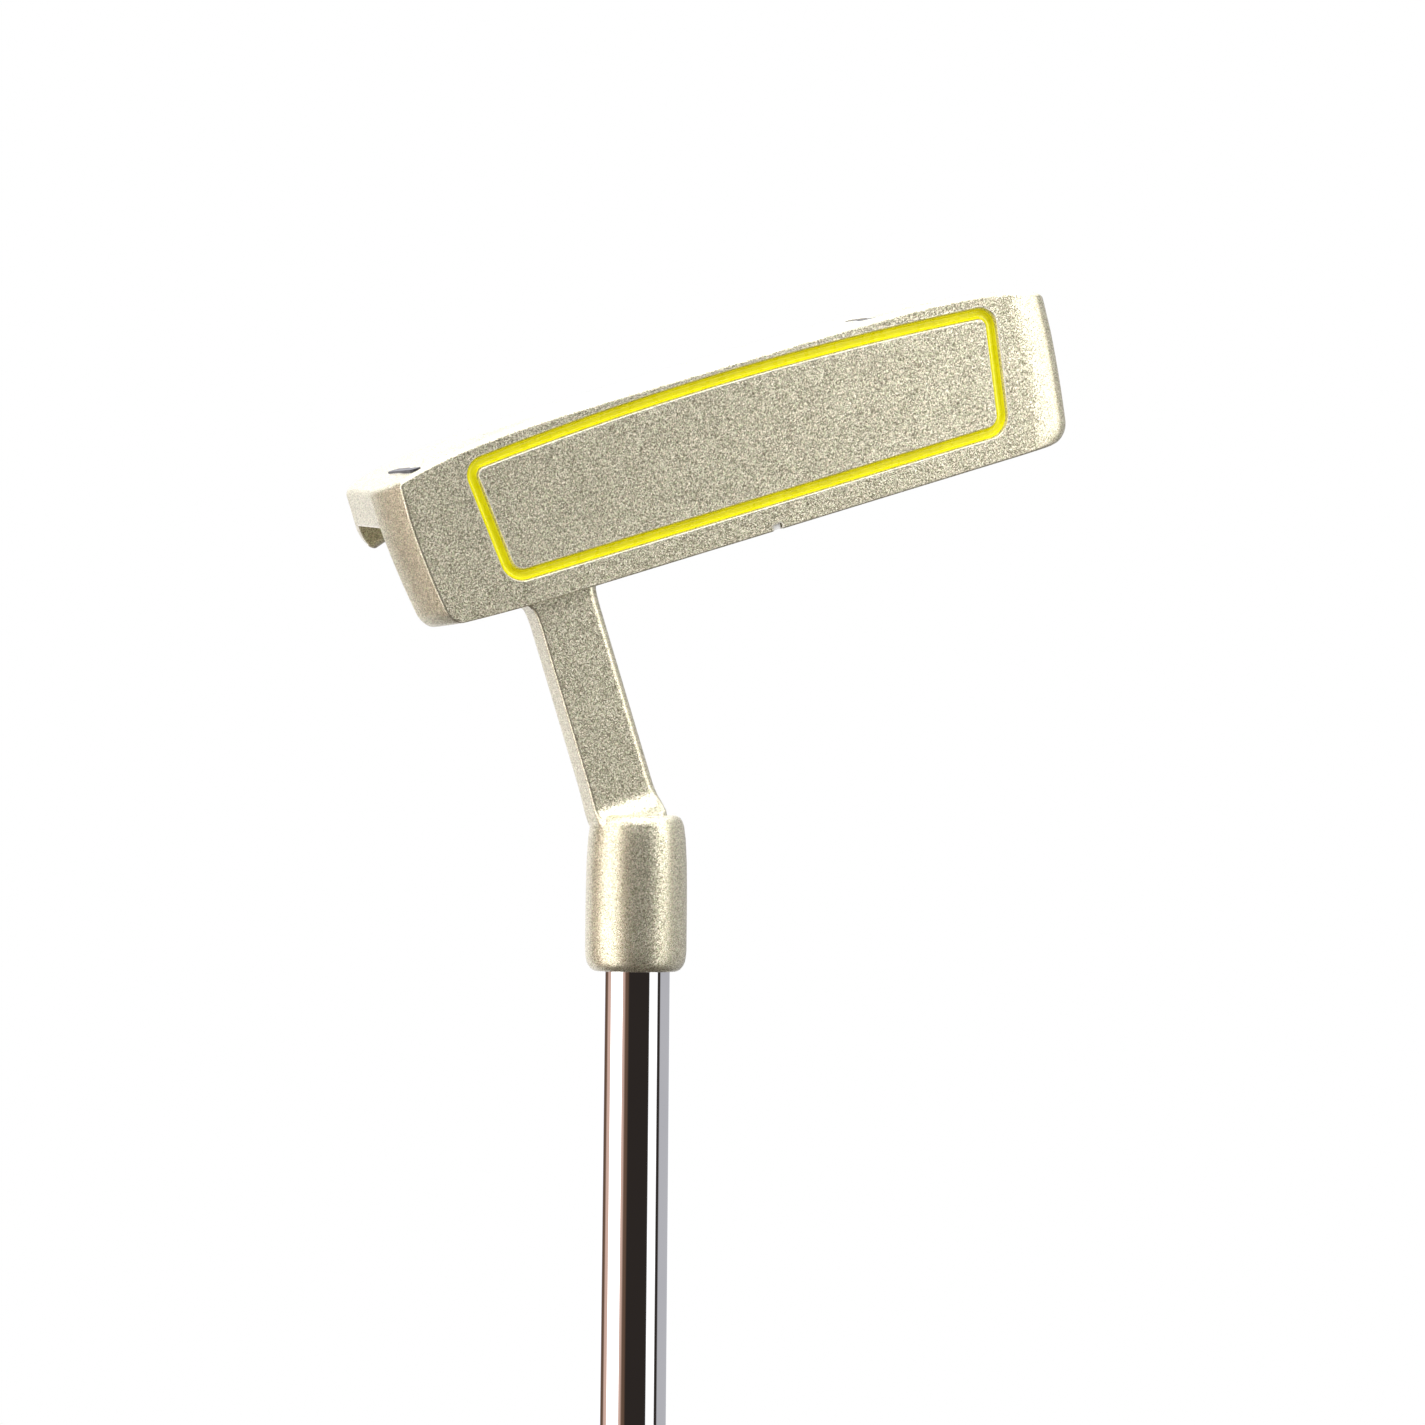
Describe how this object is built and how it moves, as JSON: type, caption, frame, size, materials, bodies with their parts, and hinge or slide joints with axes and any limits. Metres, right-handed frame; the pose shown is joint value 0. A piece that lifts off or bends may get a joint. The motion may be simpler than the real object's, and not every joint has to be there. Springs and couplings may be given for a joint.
{
  "type": "golf putter",
  "caption": "Blade putter held head up: painted head with a flanged back and plumber's neck, enamel line round the face, chrome tapered shaft and flat-fronted rubber grip.",
  "frame": {"origin": "centre of the flat butt end of the grip", "axes": "+Z along the shaft from the butt to the head, -Y the way the face looks, +X the toe side, which is also the side of the grip's thumb flat"},
  "size_m": [0.101, 0.0335, 0.8771],
  "materials": {
    "head_paint": "champagne metallic flake",
    "yellow_enamel": "gloss enamel fill",
    "white_enamel": "gloss enamel fill",
    "dark_enamel": "gloss enamel fill",
    "shaft_chrome": "mirror",
    "epoxy": "cured adhesive",
    "plug_plastic": "moulded",
    "grip_rubber": "matt, moulded",
    "grip_tape": "crepe paper tape",
    "cap_plastic": "moulded"
  },
  "bodies": {
    "root": {"putter_head": "head_paint", "face_groove_enamel": "yellow_enamel", "topline_sight_enamel": "white_enamel", "flange_sight_enamel": "white_enamel", "sole_mark_heel_enamel": "dark_enamel", "sole_mark_toe_enamel": "dark_enamel", "shaft": "shaft_chrome", "hosel_epoxy": "epoxy", "shaft_tip_plug": "plug_plastic", "grip": "grip_rubber", "grip_tape": "grip_tape", "grip_end_cap": "cap_plastic"}
  },
  "joints": []
}
